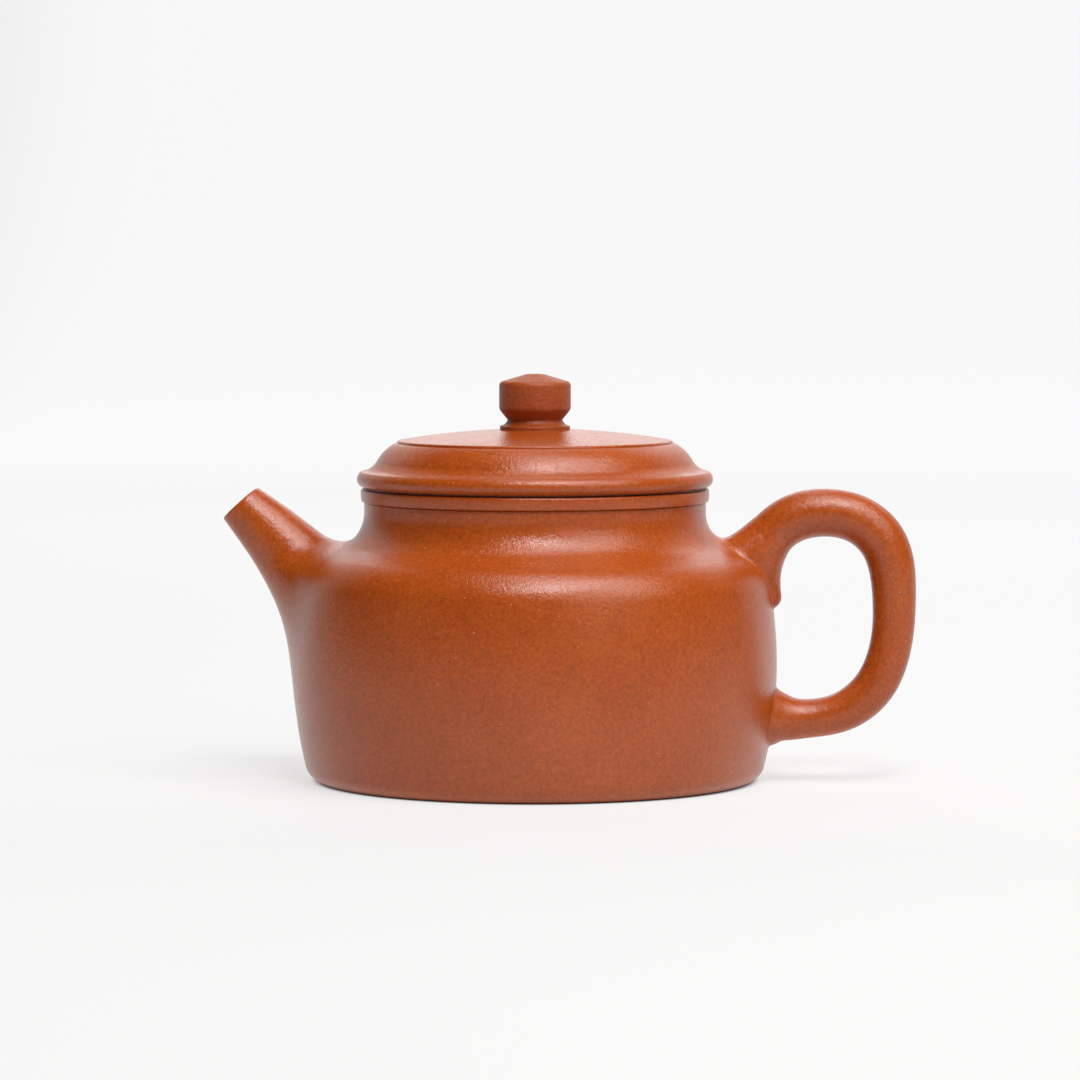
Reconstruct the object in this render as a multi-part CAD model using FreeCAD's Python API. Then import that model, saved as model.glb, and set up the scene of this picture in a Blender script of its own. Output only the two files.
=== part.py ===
"""Yixing clay teapot: drum-shaped body, concave neck, hat-shaped lid, tapered spout and ear handle.

Millimetres, +Z up, origin on the pot's axis at the table. The spout points along -X, the handle along +X.
Each piece that the potter makes apart is a solid of its own, luted face to face to its neighbours.
The spout's tip, the mouth and the top of the handle lie level, as is usual for this form.
"""
import FreeCAD
import Part
import math
import os

V = FreeCAD.Vector
UP = V(0, 0, 1)
ACROSS = V(0, 1, 0)
SECTION_POINTS = 16  # points on each smooth closed section

# Body
WALL = 2.75  # thickness of the body's walls
BASE_THICK = 3.0
BASE_HOLLOW = 0.8  # how far the underside is pressed in
BASE_RAMP = 1.6  # width of the slope into it
STAND_WIDTH = 6.0  # ring that touches the table
BASE_SOFT = 1.2  # rounding of the edges underneath
FOOT_ROUND = 1.8  # lower outer edge
BELLY_R = 45.0  # widest radius
BELLY_Z = 21.7  # height of the widest place
BELLY_SIDE_R = 80.0  # upright curve of the wall
SHOULDER_Z = 35.2  # height of the round edge's centre
SHOULDER_ROUND = 8.0

# Neck and mouth
NECK_R = 31.75
FLARE_ROUND = 7.2  # concave sweep from the shoulder into the neck
FLARE_LIFT = 0.1  # height between the shoulder's round and the sweep, beyond their radii
COLLAR_SWEEP = 26.5  # degrees of the sweep that belong to the collar
NECK_STRAIGHT = 1.7
RING_HEIGHT = 2.7
RING_PROUD = 0.6  # how far the mouth ring stands out from the neck
RING_ROUND = 0.6  # rounding of its outer edges
MOUTH_ROUND = 0.4  # rounding of its inner edge

# Lid
LID_FIT = 0.25  # gap between flange and mouth, all round
FLANGE_WALL = 2.3
FLANGE_DEPTH = 9.0
FLANGE_LEAD = 0.3  # taper at its lower end
FLANGE_LEAD_HEIGHT = 3.0
FLANGE_ROUND = 0.5  # rounding of its lower edges
BEAD_PROUD = 0.72  # how far the bead stands out from the mouth ring
BEAD_HEIGHT = 2.85
BEAD_UNDERCUT = 0.82  # rounding below the widest place
BEAD_SHOULDER = 1.17  # rounding above it
COVE_WIDTH = 2.4
COVE_RISE = 1.75
COVE_SAG = 0.24
DOME_WIDTH = 3.55
DOME_RISE = 3.2
DOME_SAG = 0.3
LID_THICK = 2.8
LID_HOLLOW_EDGE = 1.65  # edge of the hollow underside above the seat
DISC_LEDGE = 0.35  # narrow step at the foot of the cover disc
DISC_EDGE = 0.46
DISC_EDGE_ROUND = 0.3
DISC_RISE = 2.13  # crown of the cover disc
DISC_THICK = 1.2

# Knob
VENT_R = 1.1
VENT_MOUTH = 2.2  # trumpet under the lid
VENT_MOUTH_DEPTH = 1.5
FOOT_R = 6.5
FOOT_THICK = 0.75
WAIST_R = 5.1
WAIST_RISE = 1.15
WAIST_SAG = 0.29
KNOB_R = 6.65
KNOB_CHAMFER_RISE = 1.9
KNOB_DRUM = 5.05
KNOB_CONE_RISE = 1.5
KNOB_LIP = 0.5  # flat round the vent
KNOB_LOW_ROUND = 0.5  # rounding of the drum's lower edge
KNOB_TOP_ROUND = 0.9  # rounding of its upper edge
KNOB_LIP_ROUND = 0.2

# Spout, measured from the shoulder round's centre: out from the axis, and up
# Each row: upper edge out and up, lower edge out and up, half width
SPOUT_TIP = (16.37, 19.02, 22.77, 13.22, 4.28)
SPOUT_UPPER = (10.63, 15.14, 18.5, 7.3, 5.5)
SPOUT_MIDDLE = (6.19, 11.82, 14.77, 1.72, 6.7)
SPOUT_LOWER = (2.76, 9.99, 12.0, -3.87, 8.8)
SPOUT_SKIRT = (0.54, 9.4, 10.25, -9.4, 12.5)
SPOUT_ROOT = (-3.5, 9.0, 8.8, -16.5, 17.0)
SPOUT_LIP_WALL = 1.4
SPOUT_LIP_ROUND = 0.35  # rounding of the lip's edges
BORE_PAST_LIP = 1.0
SPOUT_WALL = 1.8
SPOUT_HOLE_R = 4.8  # hole through the body's wall
SPOUT_HOLE_TILT = 20.0  # degrees above level

# Strainer dome
STRAINER_R = 7.5
STRAINER_WALL = 1.5
STRAINER_HOLE_R = 0.8
STRAINER_ROWS = ((0.0, 1), (28.0, 6), (50.0, 11))  # degrees from the pole, holes in the row

# Handle
HANDLE_REACH = 25.7  # from the belly to the outer edge
HANDLE_DROP = 0.45  # its top below the mouth
HANDLE_LOW_Z = 11.7  # centre of its lower arm
HANDLE_TOP_T = 8.9  # thickness of the roll at the top
HANDLE_SIDE_T = 8.1  # at the outside
HANDLE_LOW_T = 7.4  # at the bottom
HANDLE_ROOT_T = 9.2  # where it spreads on to the body
HANDLE_BURIED_T = 11.5  # at the ends, before they are cut to the body
HANDLE_WIDTH_RATIO = 1.04  # width of the roll over its thickness

# Tail under the handle's upper root, measured from the shoulder round's centre
TAIL_TOP = (6.0, 7.6)
TAIL_END = (8.0, -0.95)
TAIL_TOP_R = 3.9
TAIL_WAIST_R = 2.4
TAIL_WAIST_AT = 0.55  # share of its length
TAIL_END_R = 2.1


def polar(centre, radius, degrees):
    """Point in the XZ plane at a radius and angle from a centre."""
    angle = math.radians(degrees)
    return V(centre.x + radius * math.cos(angle), 0, centre.z + radius * math.sin(angle))


def arc(centre, radius, start, end):
    """Arc in the XZ plane between two angles in degrees."""
    middle = polar(centre, radius, (start + end) / 2)
    return Part.Arc(polar(centre, radius, start), middle, polar(centre, radius, end)).toShape()


def sagged(start, end, sag):
    """Arc from start to end that bulges to the right of its way by sag."""
    chord = end - start
    side = V(chord.z, 0, -chord.x).normalize()
    return Part.Arc(start, (start + end) / 2 + side * sag, end).toShape()


def through(start, middle, end):
    """Arc through three points."""
    return Part.Arc(start, middle, end).toShape()


def path(*points):
    """Straight edges from point to point."""
    return [Part.makeLine(a, b) for a, b in zip(points, points[1:])]


def rounded(*corners, closed=True):
    """Straight edges from corner to corner. Each corner is a point with the radius of its rounding."""
    count = len(corners)
    trims = []
    for i, (point, radius) in enumerate(corners):
        back = (corners[i - 1][0] - point).normalize()
        on = (corners[(i + 1) % count][0] - point).normalize()
        half = back.getAngle(on) / 2
        reach = radius / math.tan(half)
        middle = point + (back + on).normalize() * (radius / math.sin(half) - radius)
        trims.append((point + back * reach, middle, point + on * reach))
    edges = [through(*trim) for trim, (_, radius) in zip(trims, corners) if radius]
    following = trims[1:] + trims[:1] if closed else trims[1:]
    return edges + [Part.makeLine(here[2], there[0]) for here, there in zip(trims, following)]


def turned(edges):
    """Solid of revolution about the pot's axis from a closed run of edges."""
    face = Part.Face(Part.Wire(Part.__sortEdges__(edges)))
    return face.revolve(V(0, 0, 0), UP, 360)


def ring(centre, reach, half_width):
    """Closed smooth section: an ellipse with one half axis given as a vector, the other across the pot."""
    points = []
    for i in range(SECTION_POINTS):
        angle = 2 * math.pi * i / SECTION_POINTS
        points.append(centre + reach * math.cos(angle) + ACROSS * half_width * math.sin(angle))
    curve = Part.BSplineCurve()
    curve.interpolate(Points=points, PeriodicFlag=True)
    return Part.Wire(curve.toShape())


# Places that follow from the sizes above
BELLY_C = V(BELLY_R - BELLY_SIDE_R, 0, BELLY_Z)
SHOULDER_C = V(
    BELLY_C.x + math.sqrt((BELLY_SIDE_R - SHOULDER_ROUND) ** 2 - (SHOULDER_Z - BELLY_Z) ** 2), 0, SHOULDER_Z
)
FLARE_C = V(NECK_R + FLARE_ROUND, 0, SHOULDER_Z + SHOULDER_ROUND + FLARE_ROUND + FLARE_LIFT)
BELLY_TOP_A = math.degrees(math.atan2(SHOULDER_C.z - BELLY_C.z, SHOULDER_C.x - BELLY_C.x))


def slope_normal():
    """Direction, in degrees, square to the straight line that touches the shoulder's round and the sweep."""
    between = FLARE_C - SHOULDER_C
    return math.degrees(
        math.atan2(between.z, between.x) - math.acos((SHOULDER_ROUND + FLARE_ROUND) / between.Length)
    )


SLOPE_A = slope_normal()
NECK_TOP = FLARE_C.z + NECK_STRAIGHT
MOUTH_Z = NECK_TOP + RING_HEIGHT
MOUTH_R = NECK_R - WALL
RING_R = NECK_R + RING_PROUD
BEAD_R = RING_R + BEAD_PROUD
FLANGE_R = MOUTH_R - LID_FIT
FLANGE_IN = FLANGE_R - FLANGE_WALL
BEAD_TOP = V(BEAD_R - BEAD_SHOULDER, 0, MOUTH_Z + BEAD_HEIGHT)
DOME_FOOT = BEAD_TOP + V(-COVE_WIDTH, 0, COVE_RISE)
DOME_TOP = DOME_FOOT + V(-DOME_WIDTH, 0, DOME_RISE)
DISC_R = DOME_TOP.x - DISC_LEDGE
LID_UNDER = V(FLANGE_IN, 0, MOUTH_Z + LID_HOLLOW_EDGE)


def belly_angle(height, inset):
    """Angle on the belly's arc, set in by inset, at a height."""
    return math.degrees(math.asin((height - BELLY_Z) / (BELLY_SIDE_R - inset)))


def crown(edge_r, edge_z, rise, r):
    """Height of a shallow crown over its edge at radius r."""
    sphere = (edge_r**2 + rise**2) / (2 * rise)
    return edge_z + rise - sphere + math.sqrt(sphere**2 - r**2)


def disc_top(r):
    """Height of the cover disc's upper face at radius r."""
    edge_r = DISC_R - DISC_EDGE_ROUND
    return crown(edge_r, DOME_TOP.z + DISC_EDGE, DISC_RISE, r)


def disc_under(r):
    """Height of the face between the lid plate and the cover disc at radius r."""
    return crown(DISC_R, DOME_TOP.z, DISC_EDGE + DISC_RISE - DISC_THICK, r)


def crown_edge(height, start_r, end_r):
    """Arc along a crown between two radii."""
    middle = (start_r + end_r) / 2
    return through(*(V(r, 0, height(r)) for r in (start_r, middle, end_r)))


def foot_edges():
    """Outer outline of the foot, from the table up to the belly's arc."""
    start = polar(BELLY_C, BELLY_SIDE_R, belly_angle(FOOT_ROUND, 0))
    stand = V(start.x - FOOT_ROUND, 0, 0)
    return stand, start, sagged(stand, start, FOOT_ROUND * (1 - math.cos(math.pi / 4)))


def outer_solid():
    """Everything inside the body's outer surface, up to the mouth."""
    stand, start, foot = foot_edges()
    slope = path(polar(SHOULDER_C, SHOULDER_ROUND, SLOPE_A), polar(FLARE_C, FLARE_ROUND, SLOPE_A + 180))
    edges = [
        foot,
        arc(BELLY_C, BELLY_SIDE_R, belly_angle(FOOT_ROUND, 0), BELLY_TOP_A),
        arc(SHOULDER_C, SHOULDER_ROUND, BELLY_TOP_A, SLOPE_A),
        *slope,
        arc(FLARE_C, FLARE_ROUND, SLOPE_A + 180, 180),
        *path(V(NECK_R, 0, FLARE_C.z), V(NECK_R, 0, MOUTH_Z), V(0, 0, MOUTH_Z), V(0, 0, 0), stand),
    ]
    return turned(edges)


def cavity_solid():
    """The room inside the body, below the straight part of the neck."""
    shoulder, flare = SHOULDER_ROUND - WALL, FLARE_ROUND + WALL
    low = belly_angle(BASE_THICK, WALL)
    slope = path(polar(SHOULDER_C, shoulder, SLOPE_A), polar(FLARE_C, flare, SLOPE_A + 180))
    edges = [
        arc(BELLY_C, BELLY_SIDE_R - WALL, low, BELLY_TOP_A),
        arc(SHOULDER_C, shoulder, BELLY_TOP_A, SLOPE_A),
        *slope,
        arc(FLARE_C, flare, SLOPE_A + 180, 180),
        *path(
            polar(FLARE_C, flare, 180),
            V(0, 0, FLARE_C.z),
            V(0, 0, BASE_THICK),
            polar(BELLY_C, BELLY_SIDE_R - WALL, low),
        ),
    ]
    return turned(edges)


def base_plate():
    """Round slab with a pressed-in underside, trimmed flush with the wall."""
    stand, start, foot = foot_edges()
    top = belly_angle(BASE_THICK, 0)
    inner = V(stand.x - STAND_WIDTH, 0, 0)
    pressed = V(inner.x - BASE_RAMP, 0, BASE_HOLLOW)
    edges = [
        foot,
        arc(BELLY_C, BELLY_SIDE_R, belly_angle(FOOT_ROUND, 0), top),
        *path(polar(BELLY_C, BELLY_SIDE_R, top), V(0, 0, BASE_THICK), V(0, 0, BASE_HOLLOW)),
        *rounded(
            (V(0, 0, BASE_HOLLOW), 0), (pressed, BASE_SOFT), (inner, BASE_SOFT), (stand, 0), closed=False
        ),
    ]
    return turned(edges)


def body_wall(hole):
    """Beaten band with the belly and the round shoulder, pierced for the spout."""
    low_out, low_in = belly_angle(BASE_THICK, 0), belly_angle(BASE_THICK, WALL)
    inner_belly, inner_round = BELLY_SIDE_R - WALL, SHOULDER_ROUND - WALL
    edges = [
        arc(BELLY_C, BELLY_SIDE_R, low_out, BELLY_TOP_A),
        arc(SHOULDER_C, SHOULDER_ROUND, BELLY_TOP_A, SLOPE_A),
        *path(polar(SHOULDER_C, SHOULDER_ROUND, SLOPE_A), polar(SHOULDER_C, inner_round, SLOPE_A)),
        arc(SHOULDER_C, inner_round, SLOPE_A, BELLY_TOP_A),
        arc(BELLY_C, inner_belly, BELLY_TOP_A, low_in),
        *path(polar(BELLY_C, inner_belly, low_in), polar(BELLY_C, BELLY_SIDE_R, low_out)),
    ]
    return turned(edges).cut(hole)


def shoulder_plate(hole):
    """Closing slab from the wall's upper edge into the sweep of the neck, clear of the spout's hole."""
    joint = 180 + COLLAR_SWEEP
    inner_round, inner_flare = SHOULDER_ROUND - WALL, FLARE_ROUND + WALL
    outer_start = polar(SHOULDER_C, SHOULDER_ROUND, SLOPE_A)
    inner_start = polar(SHOULDER_C, inner_round, SLOPE_A)
    edges = [
        *path(outer_start, polar(FLARE_C, FLARE_ROUND, SLOPE_A + 180)),
        arc(FLARE_C, FLARE_ROUND, SLOPE_A + 180, joint),
        *path(polar(FLARE_C, FLARE_ROUND, joint), polar(FLARE_C, inner_flare, joint)),
        arc(FLARE_C, inner_flare, joint, SLOPE_A + 180),
        *path(polar(FLARE_C, inner_flare, SLOPE_A + 180), inner_start, outer_start),
    ]
    return turned(edges).cut(hole)


def neck_collar():
    """Concave collar up to the mouth ring."""
    joint = 180 + COLLAR_SWEEP
    inner_flare = FLARE_ROUND + WALL
    edges = [
        arc(FLARE_C, FLARE_ROUND, joint, 180),
        *path(
            V(NECK_R, 0, FLARE_C.z),
            V(NECK_R, 0, NECK_TOP),
            V(MOUTH_R, 0, NECK_TOP),
            V(MOUTH_R, 0, FLARE_C.z),
        ),
        arc(FLARE_C, inner_flare, 180, joint),
        *path(polar(FLARE_C, inner_flare, joint), polar(FLARE_C, FLARE_ROUND, joint)),
    ]
    return turned(edges)


def mouth_ring():
    """Raised lip line, whose flat top carries the lid."""
    edges = rounded(
        (V(RING_R, 0, NECK_TOP), RING_ROUND),
        (V(RING_R, 0, MOUTH_Z), RING_ROUND),
        (V(MOUTH_R, 0, MOUTH_Z), MOUTH_ROUND),
        (V(MOUTH_R, 0, NECK_TOP), 0),
    )
    return turned(edges)


def lid_flange():
    """Wall under the lid that keeps it centred in the neck."""
    low = MOUTH_Z - FLANGE_DEPTH
    edges = rounded(
        (V(FLANGE_IN, 0, MOUTH_Z), 0),
        (V(FLANGE_R, 0, MOUTH_Z), 0),
        (V(FLANGE_R, 0, low + FLANGE_LEAD_HEIGHT), 0),
        (V(FLANGE_R - FLANGE_LEAD, 0, low), FLANGE_ROUND),
        (V(FLANGE_IN, 0, low), FLANGE_ROUND),
    )
    return turned(edges)


def lid_bead():
    """Rounded rim line with the hollow sweep that leads up to the dome."""
    seat = V(BEAD_R - BEAD_UNDERCUT, 0, MOUTH_Z)
    widest = V(BEAD_R, 0, MOUTH_Z + BEAD_HEIGHT / 2)
    inner = V(FLANGE_IN, 0, MOUTH_Z)
    edges = [
        through(seat, widest, BEAD_TOP),
        sagged(BEAD_TOP, DOME_FOOT, -COVE_SAG),
        *path(DOME_FOOT, LID_UNDER, inner, seat),
    ]
    return turned(edges)


def lid_plate():
    """Domed slab, hollow below, with the vent's trumpet at its centre."""
    under = disc_under(VENT_R) - LID_THICK
    trumpet = V(VENT_MOUTH, 0, crown(FLANGE_IN, LID_UNDER.z, under - LID_UNDER.z, VENT_MOUTH))
    halfway = FLANGE_IN / 2
    middle = V(halfway, 0, crown(FLANGE_IN, LID_UNDER.z, under - LID_UNDER.z, halfway))
    edges = [
        sagged(DOME_FOOT, DOME_TOP, DOME_SAG),
        *path(DOME_TOP, V(DISC_R, 0, DOME_TOP.z)),
        crown_edge(disc_under, DISC_R, VENT_R),
        *path(V(VENT_R, 0, disc_under(VENT_R)), V(VENT_R, 0, under + VENT_MOUTH_DEPTH), trumpet),
        through(trumpet, middle, LID_UNDER),
        *path(LID_UNDER, DOME_FOOT),
    ]
    return turned(edges)


def lid_disc():
    """Thin crowned cover disc."""
    rim = V(DISC_R, 0, DOME_TOP.z + DISC_EDGE - DISC_EDGE_ROUND)
    inside = V(DISC_R - DISC_EDGE_ROUND, 0, DOME_TOP.z + DISC_EDGE)
    edges = [
        *path(V(DISC_R, 0, DOME_TOP.z), rim),
        sagged(rim, inside, DISC_EDGE_ROUND * (1 - math.cos(math.pi / 4))),
        crown_edge(disc_top, inside.x, VENT_R),
        *path(V(VENT_R, 0, disc_top(VENT_R)), V(VENT_R, 0, disc_under(VENT_R))),
        crown_edge(disc_under, VENT_R, DISC_R),
    ]
    return turned(edges)


FOOT_TOP = disc_top(FOOT_R) + FOOT_THICK
WAIST_Z = FOOT_TOP + WAIST_RISE


def knob_foot():
    """Thin foot on the cover disc, drawn in to the knob's waist."""
    rim = V(FOOT_R, 0, FOOT_TOP)
    waist = V(WAIST_R, 0, WAIST_Z)
    edges = [
        *path(V(FOOT_R, 0, disc_top(FOOT_R)), rim),
        sagged(rim, waist, -WAIST_SAG),
        *path(waist, V(VENT_R, 0, WAIST_Z), V(VENT_R, 0, disc_top(VENT_R))),
        crown_edge(disc_top, VENT_R, FOOT_R),
    ]
    return turned(edges)


def knob():
    """Drum with a chamfered underside and a low conical top round the vent."""
    low = WAIST_Z + KNOB_CHAMFER_RISE
    top = low + KNOB_DRUM + KNOB_CONE_RISE
    edges = rounded(
        (V(WAIST_R, 0, WAIST_Z), 0),
        (V(KNOB_R, 0, low), KNOB_LOW_ROUND),
        (V(KNOB_R, 0, low + KNOB_DRUM), KNOB_TOP_ROUND),
        (V(VENT_R + KNOB_LIP, 0, top), KNOB_LIP_ROUND),
        (V(VENT_R, 0, top), KNOB_LIP_ROUND),
        (V(VENT_R, 0, WAIST_Z), 0),
    )
    return turned(edges)


def spout_edges(row):
    """Upper and lower edge points of one spout section, in the pot's frame."""
    high_out, high_up, low_out, low_up, _ = row
    high = V(-SHOULDER_C.x - high_out, 0, SHOULDER_C.z + high_up)
    low = V(-SHOULDER_C.x - low_out, 0, SHOULDER_C.z + low_up)
    return high, low


def spout_ring(row, inset):
    """One section of the spout, set in by inset."""
    high, low = spout_edges(row)
    half = (high - low) / 2
    return ring((high + low) / 2, half * (1 - inset / half.Length), row[4] - inset)


def hole_axis():
    """Unit vector of the spout hole, pointing out of the pot."""
    tilt = math.radians(SPOUT_HOLE_TILT)
    return V(-math.cos(tilt), 0, math.sin(tilt))


def mirrored_shoulder():
    """Centre of the shoulder's round on the spout's side."""
    return V(-SHOULDER_C.x, 0, SHOULDER_C.z)


def spout_hole():
    """Round hole through the wall, square to the shoulder."""
    start = mirrored_shoulder()
    return Part.makeCylinder(SPOUT_HOLE_R, SHOULDER_ROUND + SPOUT_WALL, start, hole_axis())


def lip_plane():
    """Middle of the spout's lip, the half of its height as a vector, and the way out of it."""
    high, low = spout_edges(SPOUT_TIP)
    half = (high - low) / 2
    return (high + low) / 2, half, V(-half.z, 0, half.x).normalize()


def spout_bore():
    """Channel from the lip down to the hole in the wall."""
    middle, half, outward = lip_plane()
    lip = half * (1 - SPOUT_LIP_WALL / half.Length)
    tip = ring(middle + outward * BORE_PAST_LIP, lip, SPOUT_TIP[4] - SPOUT_LIP_WALL)
    axis = hole_axis()
    square = V(axis.z, 0, -axis.x)
    root = ring(
        mirrored_shoulder() + axis * (SHOULDER_ROUND - SPOUT_WALL),
        square * SPOUT_HOLE_R,
        SPOUT_HOLE_R,
    )
    return Part.makeLoft([tip, spout_ring(SPOUT_UPPER, SPOUT_WALL), root], True)


def spout(body, hole):
    """Tapered tube that spreads on to the shoulder, belly and neck."""
    rows = (SPOUT_TIP, SPOUT_UPPER, SPOUT_MIDDLE, SPOUT_LOWER, SPOUT_SKIRT, SPOUT_ROOT)
    horn = Part.makeLoft([spout_ring(row, 0) for row in rows], True)
    tube = horn.cut(body).cut(spout_bore()).cut(hole)
    middle, _, outward = lip_plane()
    lip = [
        edge
        for edge in tube.Edges
        if all(abs((point - middle).dot(outward)) < 1e-4 for point in edge.discretize(5))
    ]
    return tube.makeFillet(SPOUT_LIP_ROUND, lip)


def spout_strainer(cavity):
    """Pierced dome inside the wall, round the spout's hole."""
    axis = hole_axis()
    centre = mirrored_shoulder() + axis * (SHOULDER_ROUND - WALL)
    dome = Part.makeSphere(STRAINER_R, centre).cut(Part.makeSphere(STRAINER_R - STRAINER_WALL, centre))
    dome = dome.common(cavity)
    square = V(axis.z, 0, -axis.x)
    for lean, count in STRAINER_ROWS:
        for i in range(count):
            turn = 2 * math.pi * i / count
            side = square * math.cos(turn) + ACROSS * math.sin(turn)
            way = side * math.sin(math.radians(lean)) - axis * math.cos(math.radians(lean))
            dome = dome.cut(Part.makeCylinder(STRAINER_HOLE_R, STRAINER_R + WALL, centre, way))
    return dome


def handle_stations():
    """Centre points of the handle's roll with its thickness at each, from the upper root round to the lower."""
    far = HANDLE_REACH - HANDLE_SIDE_T / 2
    tall = MOUTH_Z - HANDLE_DROP - HANDLE_TOP_T / 2 - HANDLE_LOW_Z
    loop = (
        # share of the reach, share of the height, thickness
        (-0.28, 0.725, HANDLE_BURIED_T),
        (-0.10, 0.862, HANDLE_TOP_T),
        (0.11, 0.963, HANDLE_TOP_T),
        (0.43, 1.0, HANDLE_TOP_T),
        (0.69, 0.967, HANDLE_TOP_T),
        (0.88, 0.878, HANDLE_TOP_T),
        (1.0, 0.60, HANDLE_SIDE_T),
        (0.955, 0.315, (HANDLE_LOW_T + HANDLE_SIDE_T) / 2),
        (0.824, 0.153, (HANDLE_LOW_T + HANDLE_SIDE_T) / 2),
        (0.563, 0.037, HANDLE_LOW_T),
        (0.22, 0.0, HANDLE_LOW_T),
        (0.11, 0.0, (2 * HANDLE_LOW_T + HANDLE_ROOT_T) / 3),
        (0.0, 0.008, HANDLE_ROOT_T),
        (-0.12, 0.012, HANDLE_BURIED_T),
    )
    return [(V(BELLY_R + a * far, 0, HANDLE_LOW_Z + b * tall), thick) for a, b, thick in loop]


def handle(body):
    """Rolled loop with the tail that is drawn down from its upper root."""
    stations = handle_stations()
    line = Part.BSplineCurve()
    line.interpolate(Points=[point for point, _ in stations])
    sections = []
    for point, thick in stations:
        way = line.tangent(line.parameter(point))[0]
        half = thick / 2
        sections.append(ring(point, way.cross(ACROSS).normalize() * half, half * HANDLE_WIDTH_RATIO))
    loop = Part.makeLoft(sections, True)
    return loop.fuse(tail()).cut(body).removeSplitter()


def tail():
    """Drop-shaped end on the shoulder: a waist, then a small ball."""
    top = SHOULDER_C + V(TAIL_TOP[0], 0, TAIL_TOP[1])
    end = SHOULDER_C + V(TAIL_END[0], 0, TAIL_END[1])
    way = (end - top).normalize()
    side = V(way.z, 0, -way.x)
    waist = top + (end - top) * TAIL_WAIST_AT
    sections = [
        ring(top, side * TAIL_TOP_R, TAIL_TOP_R),
        ring(waist, side * TAIL_WAIST_R, TAIL_WAIST_R),
        ring(end, side * TAIL_END_R, TAIL_END_R),
    ]
    return Part.makeLoft(sections, True).fuse(Part.makeSphere(TAIL_END_R, end))


def main():
    """Build every piece and write it under its own name."""
    body = outer_solid()
    hole = spout_hole()
    pieces = {
        "base_plate": base_plate(),
        "body_wall": body_wall(hole),
        "shoulder_plate": shoulder_plate(hole),
        "neck_collar": neck_collar(),
        "mouth_ring": mouth_ring(),
        "spout": spout(body, hole),
        "spout_strainer": spout_strainer(cavity_solid()),
        "handle": handle(body),
        "lid_flange": lid_flange(),
        "lid_bead": lid_bead(),
        "lid_plate": lid_plate(),
        "lid_disc": lid_disc(),
        "knob_foot": knob_foot(),
        "knob": knob(),
    }
    os.makedirs("parts", exist_ok=True)
    for name, shape in pieces.items():
        shape.exportStep(f"parts/{name}.step")
        box = shape.BoundBox
        print(
            f"{name}: {len(shape.Solids)} solid, valid {shape.isValid()}, {shape.Volume:.0f} mm3, "
            f"z {box.ZMin:.2f} to {box.ZMax:.2f}, x {box.XMin:.2f} to {box.XMax:.2f}"
        )


main()
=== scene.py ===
"""Unglazed red clay teapot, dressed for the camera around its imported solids.

Sizes are in millimetres in the part's own frame: +Z up, the spout along -X, the handle along +X.
Turned pieces are closed outlines swept round the axis. The spout and the handle are smooth skins, drawn
where the distance from the piece and the distance from the body run together.
"""
import logging
import math
from dataclasses import dataclass
from enum import Enum
from functools import partial
from typing import Any, Callable, NamedTuple

import bpy
import numpy as np
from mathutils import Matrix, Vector


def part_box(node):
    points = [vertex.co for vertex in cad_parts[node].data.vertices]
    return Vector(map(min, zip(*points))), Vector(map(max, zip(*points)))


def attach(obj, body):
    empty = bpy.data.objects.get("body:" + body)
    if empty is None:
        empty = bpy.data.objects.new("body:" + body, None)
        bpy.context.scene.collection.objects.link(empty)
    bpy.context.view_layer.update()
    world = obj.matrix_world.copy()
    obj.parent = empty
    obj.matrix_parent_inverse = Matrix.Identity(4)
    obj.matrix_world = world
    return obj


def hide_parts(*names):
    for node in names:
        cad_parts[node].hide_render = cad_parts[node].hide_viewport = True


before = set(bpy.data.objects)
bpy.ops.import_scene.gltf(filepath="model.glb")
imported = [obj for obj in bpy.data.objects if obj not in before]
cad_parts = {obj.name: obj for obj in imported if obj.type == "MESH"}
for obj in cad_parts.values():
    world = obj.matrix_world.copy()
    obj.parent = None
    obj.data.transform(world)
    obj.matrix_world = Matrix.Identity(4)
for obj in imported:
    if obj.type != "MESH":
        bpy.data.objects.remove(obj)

LOG = logging.getLogger("teapot")
MM = 0.001
TINY = 1e-9
Array = np.ndarray
Field = Callable[[Array], Array]
Piece = bpy.types.Object
Material = bpy.types.Material
Socket = bpy.types.NodeSocket


class Body(Enum):
    """The two loose bodies of the fired pot."""

    POT = "pot"
    LID = "lid"


class Clay(Enum):
    """The two finishes of a piece, in the order of its material slots."""

    BURNISHED = 0
    PLAIN = 1


# Outlines

EASE_MOST = 0.48  # greatest share of a run that one rounding takes
EASE_POINTS = 9
ARC_STEP = 4.0  # degrees between samples on a tight arc


class Corner(NamedTuple):
    """A corner of a turned outline.

    The outline is followed with the clay on its left. ease is how far back from the corner its rounding
    starts, and sag (a bulge to the right) and finish belong to the run that leaves it.
    """

    r: float
    z: float
    ease: float = 0.0
    sag: float = 0.0
    finish: Clay = Clay.BURNISHED


def matt(r: float, z: float, ease: float = 0.0) -> Corner:
    """A corner from which the skin is plain clay."""
    return Corner(r, z, ease, finish=Clay.PLAIN)


def unit(v: Array) -> Array:
    """Vectors along the last axis, scaled to length one where they have a length."""
    size = np.linalg.norm(v, axis=-1, keepdims=True)
    return v / np.where(size < TINY, 1.0, size)


def direction(degrees: float) -> Array:
    """Way out from a centre at an angle in the outline's plane."""
    a = math.radians(degrees)
    return np.array([math.cos(a), math.sin(a)])


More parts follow.
